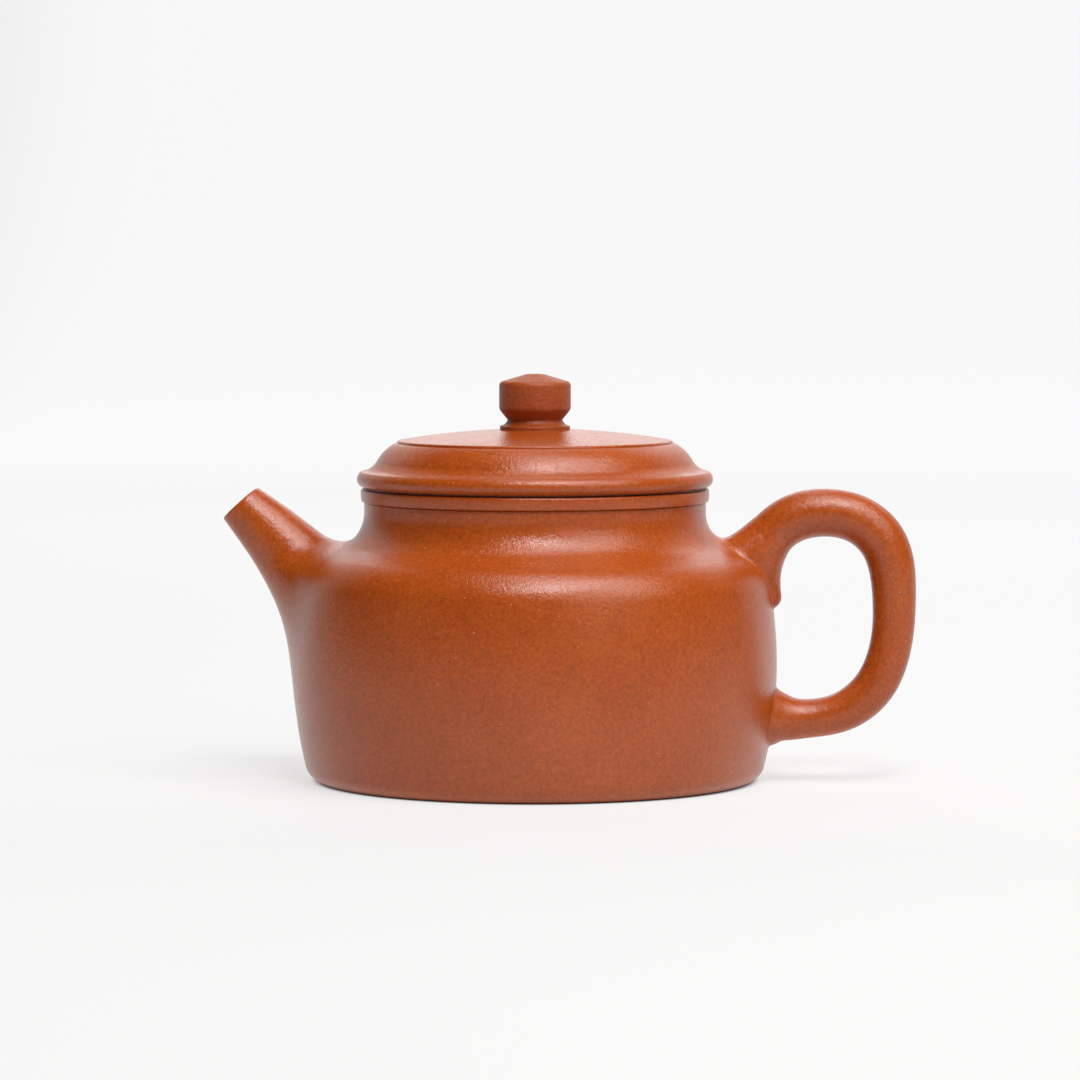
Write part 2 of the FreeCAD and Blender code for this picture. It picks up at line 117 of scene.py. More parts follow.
class Arc(NamedTuple):
    """A circle in the outline's plane, whose points are given by their angles in degrees."""

    centre: Array
    radius: float

    def point(self, at: float) -> Array:
        """Point at an angle."""
        return self.centre + self.radius * direction(at)

    def corner(self, at: float, to: float | None = None, finish: Clay = Clay.BURNISHED) -> Corner:
        """A corner of an outline that lies on the circle.

        Args:
            at: its angle.
            to: angle up to which the outline then follows the circle, or none for a straight run.
            finish: finish of that run.

        Returns:
            The corner, without a rounding.
        """
        half = 0.0 if to is None else math.radians(to - at) / 2.0
        sag = self.radius * (1.0 - math.cos(half)) * math.copysign(1.0, half)
        return Corner(*self.point(at).tolist(), sag=sag, finish=finish)

    def grown(self, extra: float) -> "Arc":
        """The circle with a greater radius."""
        return Arc(self.centre, self.radius + extra)

    def nested(self, radius: float, z: float) -> "Arc":
        """Smaller circle that touches this one from inside, with its centre at a height."""
        reach, rise = self.radius - radius, z - self.centre[1]
        return Arc(np.array([self.centre[0] + math.sqrt(reach**2 - rise**2), z]), radius)

    def angle_to(self, other: "Arc") -> float:
        """Angle at which another circle's centre is seen from this one's."""
        across = other.centre - self.centre
        return math.degrees(math.atan2(across[1], across[0]))

    def angle_at(self, z: float) -> float:
        """Angle of the outer point at a height."""
        return math.degrees(math.asin((z - self.centre[1]) / self.radius))

    def off(self, r: Array, z: Array) -> Array:
        """Distance of points outside the circle."""
        return np.hypot(r - self.centre[0], z - self.centre[1]) - self.radius


class Crown(NamedTuple):
    """A shallow dome over a level edge."""

    edge_r: float
    edge_z: float
    rise: float

    def height(self, r: float) -> float:
        """Height at a radius."""
        sphere = (self.edge_r**2 + self.rise**2) / (2.0 * self.rise)
        return self.edge_z + self.rise - sphere + math.sqrt(sphere**2 - r**2)

    def sag(self, start: float, end: float) -> float:
        """Bulge over the chord between two radii."""
        a, middle, b = (np.array([r, self.height(r)]) for r in (start, (start + end) / 2.0, end))
        chord, rise = unit(b - a), middle - a
        return float(rise[0] * chord[1] - rise[1] * chord[0])

    def corner(self, at: float, to: float | None = None, **extra: Any) -> Corner:
        """Corner at a radius, from which the outline follows the dome to another or runs straight."""
        return Corner(at, self.height(at), sag=0.0 if to is None else self.sag(at, to), **extra)


def bow_half(chord: float, sag: float) -> float:
    """Half of the angle that an arc over a chord spans."""
    return 2.0 * math.atan2(2.0 * abs(sag), chord)


def bowed(start: Array, end: Array, sag: float, share: Array) -> Array:
    """Points on an arc from start to end.

    Args:
        start: first point.
        end: last point.
        sag: bulge to the right of the way, or 0 for a straight line.
        share: places along the arc, from 0 to 1.

    Returns:
        Points shaped (places, 2).
    """
    chord = end - start
    length = float(np.hypot(*chord))
    half = bow_half(length, sag)
    if half < TINY:
        return start + share[:, None] * chord
    along = chord / length
    bulge = math.copysign(1.0, sag) * np.array([along[1], -along[0]])
    radius = length / 2.0 / math.sin(half)
    centre = (start + end) / 2.0 - bulge * radius * math.cos(half)
    angle = half * (2.0 * share[:, None] - 1.0)
    return centre + radius * (np.sin(angle) * along + np.cos(angle) * bulge)


def traced(corners: list[Corner], step: float, closed: bool) -> list[tuple[Array, Clay]]:
    """Turns corners into smooth sampled runs.

    Args:
        corners: the outline's corners in order.
        step: greatest distance between samples on a straight or shallow run.
        closed: whether the last corner runs back to the first.

    Returns:
        Runs of (points, finish), each starting where the one before ends.
    """
    pieces: list[Array] = []
    for a, b in zip(corners, corners[1:] + (corners[:1] if closed else [])):
        start, end = np.array(a[:2]), np.array(b[:2])
        chord = float(np.hypot(*(end - start)))
        half = bow_half(chord, a.sag)
        length = chord if half < TINY else chord * half / math.sin(half)
        low, high = min(a.ease / length, EASE_MOST), 1.0 - min(b.ease / length, EASE_MOST)
        samples = max(length * (high - low) / step, math.degrees(2.0 * half) / ARC_STEP)
        share = np.linspace(low, high, max(3, int(samples) + 2))
        pieces.append(bowed(start, end, a.sag, share))
    runs: list[tuple[Array, Clay]] = []
    for i, (corner, points) in enumerate(zip(corners, pieces)):
        if corner.ease > 0.0 and (i or closed):
            t = np.linspace(0.0, 1.0, EASE_POINTS)[:, None]
            tip = np.array(corner[:2])
            ease = (1 - t) ** 2 * pieces[i - 1][-1] + 2 * t * (1 - t) * tip + t * t * points[0]
            runs.append((ease, corner.finish))
        runs.append((points, corner.finish))
    return runs


# Meshes

LEAST_SLOPE = 1e-3  # least squared slope by which a move on to a surface is divided

class Run(NamedTuple):
    """Rings of points, shaped (rings, points, 3), with the finish of the skin between them."""

    rings: Array
    finish: Clay


def turned(corners: list[Corner], segments: int, step: float, closed: bool) -> list[Run]:
    """Sweeps an outline round the pot's axis."""
    angle = np.linspace(0.0, 2.0 * math.pi, segments, endpoint=False)
    runs = []
    for points, finish in traced(corners, step, closed):
        r, z = points[:, :1], points[:, 1:]
        rings = np.stack([r * np.cos(angle), r * np.sin(angle), z + 0.0 * angle], axis=2)
        runs.append(Run(rings, finish))
    return runs


def poles(rings: Array) -> Array:
    """Which of the rings have shrunk to a point."""
    return np.ptp(rings, axis=1).max(axis=1) < TINY


def ring_normals(rings: Array) -> Array:
    """Outward normals of a run of rings, from the slopes along and across it."""
    along = np.gradient(rings, axis=0, edge_order=2)
    across = np.roll(rings, -1, axis=1) - np.roll(rings, 1, axis=1)
    normals = np.cross(across, along)
    for i in np.flatnonzero(poles(rings)):
        near = i + 1 if i == 0 else i - 1
        normals[i] = unit(normals[near]).mean(axis=0)
    return unit(normals)


def joined_normals(runs: list[Run], closed: bool, crease: float = 25.0) -> list[Array]:
    """Normals of every run, shared where two runs meet at less than the crease angle, in degrees."""
    normals = [ring_normals(run.rings) for run in runs]
    for here, there in zip(normals, normals[1:] + (normals[:1] if closed else [])):
        mean = unit(here[-1] + there[0])
        near = np.einsum("ij,ij->i", here[-1], there[0]) > math.cos(math.radians(crease))
        here[-1][near] = mean[near]
        there[0][near] = mean[near]
    return normals


def linked(name: str, data: bpy.types.ID) -> Piece:
    """A new object in the scene."""
    made = bpy.data.objects.new(name, data)
    bpy.context.scene.collection.objects.link(made)
    return made


def shell(name: str, runs: list[Run], closed: bool) -> Piece:
    """Makes one closed mesh from runs of rings.

    Args:
        name: name of the new object.
        runs: runs of rings with as many points each, every run starting on the last ring of the one before.
        closed: whether the last ring is the first one again. If not, the skin ends in points at both ends.

    Returns:
        The object, with the skin's own normals.
    """
    normals = joined_normals(runs, closed)
    last = [] if closed else [runs[-1].rings[-1:]]
    rings = np.concatenate([run.rings[:-1] for run in runs] + last)
    total, around = rings.shape[:2]
    index = np.arange(total * around).reshape(total, around)
    flat = poles(rings)
    index[flat] = index[flat, :1]
    turn = np.roll(np.arange(around), -1)

    def four(low: Array, high: Array) -> Array:
        """Values at the four corners of each face between two rings."""
        return np.stack([low, low[:, turn], high[:, turn], high], axis=2).reshape(-1, 4, *low.shape[2:])

    pairs = total if closed else total - 1
    quads = four(index[:pairs], np.roll(index, -1, axis=0)[:pairs])
    shade = four(np.concatenate([n[:-1] for n in normals]), np.concatenate([n[1:] for n in normals]))
    kept = quads != np.roll(quads, 1, axis=1)
    used, fresh = np.unique(quads[kept], return_inverse=True)
    faces = np.split(fresh, np.cumsum(kept.sum(axis=1))[:-1])
    finishes = [run.finish.value for run in runs for _ in range((len(run.rings) - 1) * around)]
    mesh = bpy.data.meshes.new(name)
    points = rings.reshape(-1, 3)[used] * MM
    mesh.from_pydata(points.tolist(), [], [face.tolist() for face in faces], shade_flat=False)
    mesh.polygons.foreach_set("material_index", finishes)
    mesh.normals_split_custom_set(shade[kept].tolist())
    return linked(name, mesh)


def skin_of(solid: Field, low: Array, high: Array, cell: float) -> tuple[Array, Array]:
    """Quads round the inside of a field, where it is below zero.

    Args:
        solid: distance-like field in millimetres.
        low: lowest corner of the box to look in.
        high: highest corner.
        cell: size of a cell.

    Returns:
        Points and the quads that join them, facing out.
    """
    shape = np.ceil((high - low) / cell).astype(int) + 1
    grid = np.stack(np.meshgrid(*[np.arange(n) for n in shape], indexing="ij"), axis=-1)
    values = solid(low + cell * grid.reshape(-1, 3)).reshape(shape)
    cells = tuple(shape - 1)
    total, count = np.zeros(cells + (3,)), np.zeros(cells)
    rounds = []
    for axis in range(3):
        first, second = (axis + 1) % 3, (axis + 2) % 3
        near = np.take(values, range(shape[axis] - 1), axis=axis)
        far = np.take(values, range(1, shape[axis]), axis=axis)
        at = np.argwhere((near < 0) != (far < 0))
        at = at[np.all((at > 0) & (at < np.array(cells)), axis=1)]
        a, b = near[tuple(at.T)], far[tuple(at.T)]
        crossing = at.astype(float)
        crossing[:, axis] += a / (a - b)
        ways = []
        for back, down in ((0, 0), (1, 0), (1, 1), (0, 1)):
            way = at.copy()
            way[:, first] -= back
            way[:, second] -= down
            np.add.at(total, tuple(way.T), crossing)
            np.add.at(count, tuple(way.T), 1)
            ways.append(np.ravel_multi_index(tuple(way.T), cells))
        quads = np.stack(ways, axis=1)
        quads[a > 0] = quads[a > 0][:, ::-1]
        rounds.append(quads)
    quads = np.concatenate(rounds)
    used, fresh = np.unique(quads, return_inverse=True)
    middle = total.reshape(-1, 3)[used] / count.reshape(-1)[used][:, None]
    return low + cell * middle, fresh.reshape(quads.shape)


def slope_of(field: Field, points: Array, reach: float = 0.01) -> Array:
    """Gradient of a field at points, by small steps each way."""
    rise = np.empty_like(points)
    for axis, step in enumerate(reach * np.eye(3)):
        rise[:, axis] = (field(points + step) - field(points - step)) / (2.0 * reach)
    return rise


def settled(field: Field, points: Array, rounds: int, most: float = 0.25) -> Array:
    """Moves points on to the surface where a field is zero, by no more than most in a round."""
    for _ in range(rounds):
        rise = slope_of(field, points)
        size = np.einsum("ij,ij->i", rise, rise)
        move = field(points)[:, None] * rise / np.maximum(size, LEAST_SLOPE)[:, None]
        length = np.linalg.norm(move, axis=1, keepdims=True)
        points = points - move * np.minimum(1.0, most / np.maximum(length, TINY))
    return points


def relaxed(points: Array, quads: Array) -> Array:
    """Moves each point half way to the middle of its neighbours."""
    a, b = quads.ravel(), np.roll(quads, -1, axis=1).ravel()
    total, count = np.zeros_like(points), np.zeros(len(points))
    for here, there in ((a, b), (b, a)):
        np.add.at(total, here, points[there])
        np.add.at(count, here, 1)
    return (points + total / count[:, None]) / 2.0


def smooth_step(low: float, high: float, x: Array) -> Array:
    """Goes from 0 at low to 1 at high with level ends."""
    t = np.clip((x - low) / (high - low), 0.0, 1.0)
    return t * t * (3.0 - 2.0 * t)


def smooth_min(a: Array, b: Array, k: Array | float) -> Array:
    """The lesser of two distances, with a fillet of size k where they are close, even in its curvature."""
    h = np.maximum(k - np.abs(a - b), 0.0) / k
    return np.minimum(a, b) - h**3 * k / 6.0


def natural_spline(knots: Array, values: Array, at: Array) -> Array:
    """Smooth curve through values at knots.

    Args:
        knots: growing parameters.
        values: one row for each knot.
        at: parameters to read.

    Returns:
        One row for each parameter.
    """
    n = len(knots)
    h = np.diff(knots)
    system, right = np.eye(n), np.zeros(values.shape)
    for i in range(1, n - 1):
        system[i, i - 1 : i + 2] = h[i - 1], 2 * (h[i - 1] + h[i]), h[i]
        right[i] = 6 * ((values[i + 1] - values[i]) / h[i] - (values[i] - values[i - 1]) / h[i - 1])
    bend = np.linalg.solve(system, right)
    i = np.clip(np.searchsorted(knots, at) - 1, 0, n - 2)
    a = ((knots[i + 1] - at) / h[i])[:, None]
    b = 1.0 - a
    curve = a * values[i] + b * values[i + 1]
    return curve + ((a**3 - a) * bend[i] + (b**3 - b) * bend[i + 1]) * (h[i] ** 2)[:, None] / 6.0


def resampled(rows: Array, axes: int, count: int) -> Array:
    """Even samples of a smooth curve through rows, of which the first axes values are places."""
    steps = np.linalg.norm(np.diff(rows[:, :axes], axis=0), axis=1)
    knots = np.concatenate([[0.0], np.cumsum(steps)])
    return natural_spline(knots, rows, np.linspace(0.0, knots[-1], count))


# Finishes

NOISE_SPAN = (0.3, 0.7)  # values between which a noise texture mostly stays
POLISH_SPAN = (0.25, 0.75)
FLECK_EDGE = 1.6  # radius at which a fleck has faded, to its own
WHITE = (1.0, 1.0, 1.0, 1.0)
MIX_A, MIX_B, MIX_OUT = 6, 7, 2  # places of the colour sockets in a Mix node


def linear(code: str) -> tuple[float, float, float, float]:
    """Turns an sRGB hex colour into linear light."""
    parts = [int(code[i : i + 2], 16) / 255.0 for i in (1, 3, 5)]
    lit = [c / 12.92 if c <= 0.04045 else ((c + 0.055) / 1.055) ** 2.4 for c in parts]
    return (lit[0], lit[1], lit[2], 1.0)


def per_metre(size_mm: float) -> float:
    """Scale of a pattern whose features are size_mm across."""
    return 1.0 / (size_mm * MM)


class Nodes:
    """The node tree of a material or a world, while it is put together."""

    def __init__(self, owner: Material | bpy.types.World) -> None:
        """Empties the owner's tree."""
        owner.use_nodes = True
        self.tree = owner.node_tree
        self.tree.nodes.clear()

    def add(self, kind: str, inputs: dict[Any, Any] | None = None, **settings: Any) -> bpy.types.Node:
        """Adds a node with its settings and links.

        Args:
            kind: Blender's name for the node, without the word ShaderNode.
            inputs: values, or sockets to link from, by the name or number of the input.
            settings: attributes of the node.

        Returns:
            The node.
        """
        node = self.tree.nodes.new("ShaderNode" + kind)
        for key, value in settings.items():
            setattr(node, key, value)
        for key, value in (inputs or {}).items():
            if isinstance(value, Socket):
                self.tree.links.new(value, node.inputs[key])
            else:
                node.inputs[key].default_value = value
        return node

    def place(self) -> Socket:
        """Coordinates on the object itself."""
        return self.add("TexCoord").outputs["Object"]

    def math(self, how: str, *values: Socket | float) -> Socket:
        """Result of a calculation."""
        return self.add("Math", dict(enumerate(values)), operation=how).outputs["Value"]

    def noise(self, place: Socket, size_mm: float, detail: float, roughness: float = 0.5) -> Socket:
        """Noise with features of a size."""
        inputs = {"Vector": place, "Scale": per_metre(size_mm), "Detail": detail, "Roughness": roughness}
        return self.add("TexNoise", inputs).outputs["Fac"]

    def ranged(
        self, value: Socket, start: float, end: float, low: float = 0.0, high: float = 1.0,
        kind: str = "LINEAR",
    ) -> Socket:
        """Goes from low where the value is start to high where it is end."""
        inputs = {"Value": value, "From Min": start, "From Max": end, "To Min": low, "To Max": high}
        return self.add("MapRange", inputs, interpolation_type=kind).outputs["Result"]

    def mixed(self, share: Socket, ground: Socket, colour: str) -> Socket:
        """Colour laid over another by a share."""
        inputs = {"Factor": share, MIX_A: ground, MIX_B: linear(colour)}
        return self.add("Mix", inputs, data_type="RGBA").outputs[MIX_OUT]

    def bump(self, height: Socket, lift_mm: float, under: Socket | None = None) -> Socket:
        """Slope of a relief, laid over another one where it is given."""
        inputs = {"Height": height, "Strength": 1.0, "Distance": lift_mm * MM}
        return self.add("Bump", inputs if under is None else inputs | {"Normal": under}).outputs["Normal"]

    def flecks(self, place: Socket, cell_mm: float, reach: float, bare: float) -> Socket:
        """Small dots in some cells of an even scatter.

        Args:
            place: coordinates.
            cell_mm: size of a cell.
            reach: radius of a dot, as a share of the cell.
            bare: share of the cells that stay empty.

        Returns:
            Socket that is 1 in a dot and 0 outside.
        """
        cells = self.add("TexVoronoi", {"Vector": place, "Scale": per_metre(cell_mm)}).outputs
        dot = self.ranged(cells["Distance"], reach, reach * FLECK_EDGE, 1.0, 0.0)
        pick = self.add("SeparateColor", {"Color": cells["Color"]}).outputs[0]
        return self.math("MULTIPLY", dot, self.math("GREATER_THAN", pick, bare))

    def surface(self, inputs: dict[str, Any]) -> None:
        """Ends a material with its shader."""
        shader = self.add("BsdfPrincipled", inputs).outputs["BSDF"]
        self.add("OutputMaterial", {"Surface": shader})


@dataclass(frozen=True)
class RedStoneware:
    """Unglazed iron-rich stoneware.

    The clay fires red-brown right through and keeps its sand, so the eye sees a fine orange-peel skin,
    pale grains and a few dark pits. Rubbing with a horn blade closes the skin to a satin sheen, and the
    parts that no blade reaches stay matt. Sizes are in millimetres.
    """

    name: str
    colour: str = "#a84b17"
    deep: str = "#a34614"
    pale: str = "#ad501b"
    grit: str = "#cf8c5c"
    pit: str = "#5a2410"
    roughness: float = 0.23
    roughness_swing: float = 0.06
    specular: float = 0.5
    ior: float = 1.5
    cloud: float = 16.0  # slow change of colour
    polish: float = 5.0  # patches that the blade has closed more or less
    ripple: float = 1.3  # shallow unevenness under the grains
    skin: float = 0.7  # grains of the skin, of which single ones are too fine to show
    grit_cell: float = 1.7  # cell that may hold one pale grain
    pit_cell: float = 3.4  # cell that may hold one pit
    grit_reach: float = 0.05  # radius of a grain, as a share of its cell
    pit_reach: float = 0.03
    bare: float = 0.7  # share of the cells without a grain or pit
    skin_lift: float = 0.11  # heights of the relief
    ripple_lift: float = 0.006
    fleck_lift: float = 0.03
    speckle: float = 0.24  # share by which the colour of single grains differs

    def material(self) -> Material:
        """Builds the node material."""
        made = bpy.data.materials.new(self.name)
        nodes = Nodes(made)
        place = nodes.place()
        grain = nodes.noise(place, self.skin, detail=3.0, roughness=0.75)
        cloud = nodes.noise(place, self.cloud, detail=4.0, roughness=0.6)
        ground = nodes.add("ValToRGB", {"Fac": cloud})
        stops = ground.color_ramp.elements
        for stop, at, code in zip(stops, NOISE_SPAN, (self.deep, self.pale)):
            stop.position = at
            stop.color = linear(code)
        stops.new(0.5).color = linear(self.colour)
        tone = nodes.ranged(grain, *NOISE_SPAN, 1.0 - self.speckle, 1.0 + self.speckle)
        mottled = nodes.add("HueSaturation", {"Color": ground.outputs["Color"], "Value": tone})
        sand = nodes.flecks(place, self.grit_cell, self.grit_reach, self.bare)
        pits = nodes.flecks(place, self.pit_cell, self.pit_reach, self.bare)
        sandy = nodes.mixed(sand, mottled.outputs["Color"], self.grit)
        swing = self.roughness_swing / 2.0
        patches = nodes.noise(place, self.polish, detail=5.0, roughness=0.65)
        uneven = nodes.bump(nodes.noise(place, self.ripple, detail=2.0), self.ripple_lift)
        grainy = nodes.bump(grain, self.skin_lift, uneven)
        nodes.surface({
            "Base Color": nodes.mixed(pits, sandy, self.pit),
            "Roughness": nodes.ranged(patches, *POLISH_SPAN, self.roughness - swing, self.roughness + swing),
            "Normal": nodes.bump(nodes.math("SUBTRACT", sand, pits), self.fleck_lift, grainy),
            "IOR": self.ior,
            "Specular IOR Level": self.specular,
        })
        return made


@dataclass(frozen=True)
class PaperSweep:
    """Matt white translucent studio sheet, rolled out as floor and backdrop.

    It has no gloss, only light and soft shade. Its glow is painted light: emission in the sheet that stands
    for lamps under and behind it, cut out round the pot's foot as a painted contact shadow. Sizes are in
    metres.
    """

    name: str = "matt_studio_sheet"
    colour: str = "#7d7c7b"
    roughness: float = 0.9
    specular: float = 0.1
    floor_glow: float = 0.65
    back_glow: float = 0.86
    glow_from: float = -0.1  # how far behind the pot the painted glow of the backdrop starts to rise
    glow_full: float = 1.4
    glow_rise: float = 0.7  # below one it rises fast at first
    glow_side_fade_from: float = 0.35  # how far aside the painted glow starts to fade
    glow_side_fade_end: float = 0.6
    contact_shade_r: float = 0.0398  # painted contact shadow: the glow is cut out under the pot's foot
    contact_shade_clear: float = 0.0420

    def material(self) -> Material:
        """Builds the node material."""
        made = bpy.data.materials.new(self.name)
        nodes = Nodes(made)
        soft = partial(nodes.ranged, kind="SMOOTHSTEP")
        place = nodes.place()
        apart = nodes.add("SeparateXYZ", {"Vector": place}).outputs
        middle = nodes.add("VectorMath", {0: place}, operation="LENGTH").outputs["Value"]
        aside = nodes.math("ABSOLUTE", apart["X"])
        depth = nodes.ranged(apart["Y"], self.glow_from, self.glow_full)
        behind = nodes.math("POWER", depth, self.glow_rise)
        glow_side_fade = soft(aside, self.glow_side_fade_from, self.glow_side_fade_end, self.back_glow - self.floor_glow, 0.0)
        # painted glow: emission that stands for lamps under and behind the sheet, rising behind the pot
        painted_glow = nodes.math("MULTIPLY_ADD", behind, glow_side_fade, self.floor_glow)
        # painted contact shadow: the glow fades out round the pot's foot
        clear = soft(middle, self.contact_shade_r, self.contact_shade_clear)
        nodes.surface({
            "Base Color": linear(self.colour),
            "Roughness": self.roughness,
            "Specular IOR Level": self.specular,
            "Emission Color": WHITE,
            "Emission Strength": nodes.math("MULTIPLY", painted_glow, clear),
        })
        return made


class Finishes:
    """The materials, made once and shared by all pieces."""

    def __init__(self) -> None:
        """Makes the materials: rubbed with the blade, left as it is, and a rougher copy of deeper colour for
        the knob.
        """
        self.burnished = RedStoneware("red_stoneware_burnished").material()
        self.plain = RedStoneware("red_stoneware_plain", roughness=0.78, specular=0.3).material()
        # the knob's clay is deeper in colour than the body's, with more roughness and less gloss
        self.turned = RedStoneware(
            "red_stoneware_knob", "#9c4415", "#973f12", "#a14919", roughness=0.46, specular=0.4
        ).material()

    def dress(self, piece: Piece, outside: Material | None = None) -> None:
        """Gives a new piece its outer finish, burnished unless another is named, and the plain one."""
        piece.data.materials.clear()
        piece.data.materials.append(outside or self.burnished)
        piece.data.materials.append(self.plain)

    def dress_solid(self, node: str) -> None:
        """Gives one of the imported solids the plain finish."""
        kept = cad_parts[node].data.materials
        kept.clear()
        kept.append(self.plain)
        LOG.info("%s keeps its solid", node)


def seat_piece(piece: Piece, body: Body, slot: Clay, *nodes: str) -> None:
    """Makes a piece ride on its body in place of solids.

    Args:
        piece: the new object, in place.
        body: body that it moves with.
        slot: not used.
        nodes: solids that it stands for.
    """
    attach(piece, body.value)
    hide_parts(*nodes)
    LOG.info("%s for %s: %d faces", piece.name, ", ".join(nodes), len(piece.data.polygons))


class Turning(NamedTuple):
    """A piece that is turned round the pot's axis, and the solid that it stands for."""

    name: str
    node: str
    outline: list[Corner]
    slot: Clay = Clay.BURNISHED

    def build(self, body: Body, finishes: Finishes, segments: int, step: float, outside: Material) -> None:
        """Makes and dresses the piece.

        Args:
            body: body that it moves with.
            finishes: the materials.
            segments: steps round the axis.
            step: greatest distance between samples of the outline.
            outside: finish of its outer skin.
        """
        closed = self.outline[0].r > 0.0
        made = shell(self.name, turned(self.outline, segments, step, closed), closed)
        finishes.dress(made, outside)
        seat_piece(made, body, self.slot, self.node)


# The pot


@dataclass
class PotBody:
    """Base, wall, shoulder, neck and mouth: the turned pieces of the pot."""

    wall: float = 2.75
    base_thick: float = 3.0
    base_hollow: float = 0.8
    base_ramp: float = 1.6
    ramp_ease: float = 0.7
    stand_width: float = 4.55
    stand_ease: float = 0.5
    foot_round: float = 3.6
    belly_r: float = 45.0
    belly_z: float = 21.7
    belly_side_r: float = 80.0
    shoulder_z: float = 34.6
    shoulder_round: float = 8.0
    neck_r: float = 31.75
    flare_round: float = 7.2
    flare_lift: float = 0.1
    collar_sweep: float = 26.5  # degrees of the flare that belong to the collar
    neck_straight: float = 1.95
    neck_ease: float = 0.3
    ring_height: float = 2.4
    ring_proud: float = 0.6
    ring_lean: float = 0.12
    ring_sag: float = 0.08
    ring_low_ease: float = 0.35
    ring_ease: float = 0.5
    mouth_ease: float = 0.42
    segments: int = 288
    step: float = 0.9

    def __post_init__(self) -> None:
        """Works out the outline's arcs and where they meet."""
        self.belly = Arc(np.array([self.belly_r - self.belly_side_r, self.belly_z]), self.belly_side_r)
        self.foot = self.belly.nested(self.foot_round, self.foot_round)
        self.shoulder = self.belly.nested(self.shoulder_round, self.shoulder_z)
        top = self.shoulder_z + self.shoulder_round + self.flare_round + self.flare_lift
        self.flare = Arc(np.array([self.neck_r + self.flare_round, top]), self.flare_round)
        self.inner_belly, self.inner_shoulder = self.belly.grown(-self.wall), self.shoulder.grown(-self.wall)
        self.inner_flare = self.flare.grown(self.wall)
        self.belly_top_a = self.belly.angle_to(self.shoulder)
        apart = float(np.hypot(*(self.flare.centre - self.shoulder.centre)))
        lean = math.acos((self.shoulder_round + self.flare_round) / apart)
        self.slope_a = self.shoulder.angle_to(self.flare) - math.degrees(lean)
        self.flare_a, self.collar_a = self.slope_a + 180.0, self.collar_sweep + 180.0
        self.neck_top = top + self.neck_straight
        self.mouth_z = self.neck_top + self.ring_height
        self.mouth_r = self.neck_r - self.wall
        self.ring_r = self.neck_r + self.ring_proud

    def over_skin(self, points: Array) -> Array:
        """Distance of points outside the body's outer skin, below zero inside it."""
        r, z = np.hypot(points[:, 0], points[:, 1]), points[:, 2]
        out, edge = direction(self.slope_a), direction(self.belly_top_a)
        foot, head = self.shoulder.point(self.slope_a), self.flare.point(self.flare_a)
        slope = (r - foot[0]) * out[0] + (z - foot[1]) * out[1]
        along = (z - foot[1]) * out[0] - (r - foot[0]) * out[1]
        length = (head[1] - foot[1]) * out[0] - (head[0] - foot[0]) * out[1]
        above = (z - self.shoulder_z) * edge[0] > (r - self.shoulder.centre[0]) * edge[1]
        low = np.where(above, self.shoulder.off(r, z), self.belly.off(r, z))
        high = np.where(z < self.flare.centre[1], -self.flare.off(r, z), r - self.neck_r)
        return np.where(along < 0, low, np.where(along < length, slope, high))

    def base_outline(self) -> list[Corner]:
        """Underside, foot and floor of the base slab, from axis to axis."""
        inner = float(self.foot.centre[0]) - self.stand_width
        low, top = self.belly.angle_to(self.foot), self.belly.angle_at(self.base_thick)
        return [
            matt(0.0, self.base_hollow),
            matt(inner - self.base_ramp, self.base_hollow, self.ramp_ease),
            matt(inner, 0.0, self.stand_ease),
            self.foot.corner(-90.0, low),
            self.belly.corner(low, top),
            self.belly.corner(top, finish=Clay.PLAIN),
            matt(0.0, self.base_thick),
        ]

    def wall_outline(self) -> list[Corner]:
        """Belly and round shoulder, outside and inside."""
        low_out, low_in = self.belly.angle_at(self.base_thick), self.inner_belly.angle_at(self.base_thick)
        return [
            self.belly.corner(low_out, self.belly_top_a),
            self.shoulder.corner(self.belly_top_a, self.slope_a),
            self.shoulder.corner(self.slope_a),
            self.inner_shoulder.corner(self.slope_a, self.belly_top_a, Clay.PLAIN),
            self.inner_belly.corner(self.belly_top_a, low_in, Clay.PLAIN),
            self.inner_belly.corner(low_in, finish=Clay.PLAIN),
        ]

    def shoulder_outline(self) -> list[Corner]:
        """Closing slab with the first part of the sweep into the neck."""
        return [
            self.shoulder.corner(self.slope_a),
            self.flare.corner(self.flare_a, self.collar_a),
            self.flare.corner(self.collar_a),
            self.inner_flare.corner(self.collar_a, self.flare_a, Clay.PLAIN),
            self.inner_flare.corner(self.flare_a, finish=Clay.PLAIN),
            self.inner_shoulder.corner(self.slope_a),
        ]

    def neck_outline(self) -> list[Corner]:
        """Concave collar up to the mouth's line."""
        return [
            self.flare.corner(self.collar_a, 180.0),
            self.flare.corner(180.0),
            Corner(self.neck_r, self.neck_top, ease=self.neck_ease),
            matt(self.mouth_r, self.neck_top),
            self.inner_flare.corner(180.0, self.collar_a, Clay.PLAIN),
            self.inner_flare.corner(self.collar_a),
        ]

    def mouth_outline(self) -> list[Corner]:
        """Raised lip line with rounded edges and a flat seat."""
        return [
            Corner(self.ring_r - self.ring_lean, self.neck_top, ease=self.ring_low_ease, sag=self.ring_sag),
            Corner(self.ring_r, self.mouth_z, ease=self.ring_ease),
            matt(self.mouth_r, self.mouth_z, self.mouth_ease),
            matt(self.mouth_r, self.neck_top),
        ]

    def build(self, finishes: Finishes) -> None:
        """Makes and dresses every turned piece of the pot."""
        for piece in (
            Turning("base_slab", "base_plate", self.base_outline()),
            Turning("wall_band", "body_wall", self.wall_outline()),
            Turning("shoulder_slab", "shoulder_plate", self.shoulder_outline()),
            Turning("neck_band", "neck_collar", self.neck_outline()),
            Turning("mouth_line", "mouth_ring", self.mouth_outline()),
        ):
            piece.build(Body.POT, finishes, self.segments, self.step, finishes.burnished)


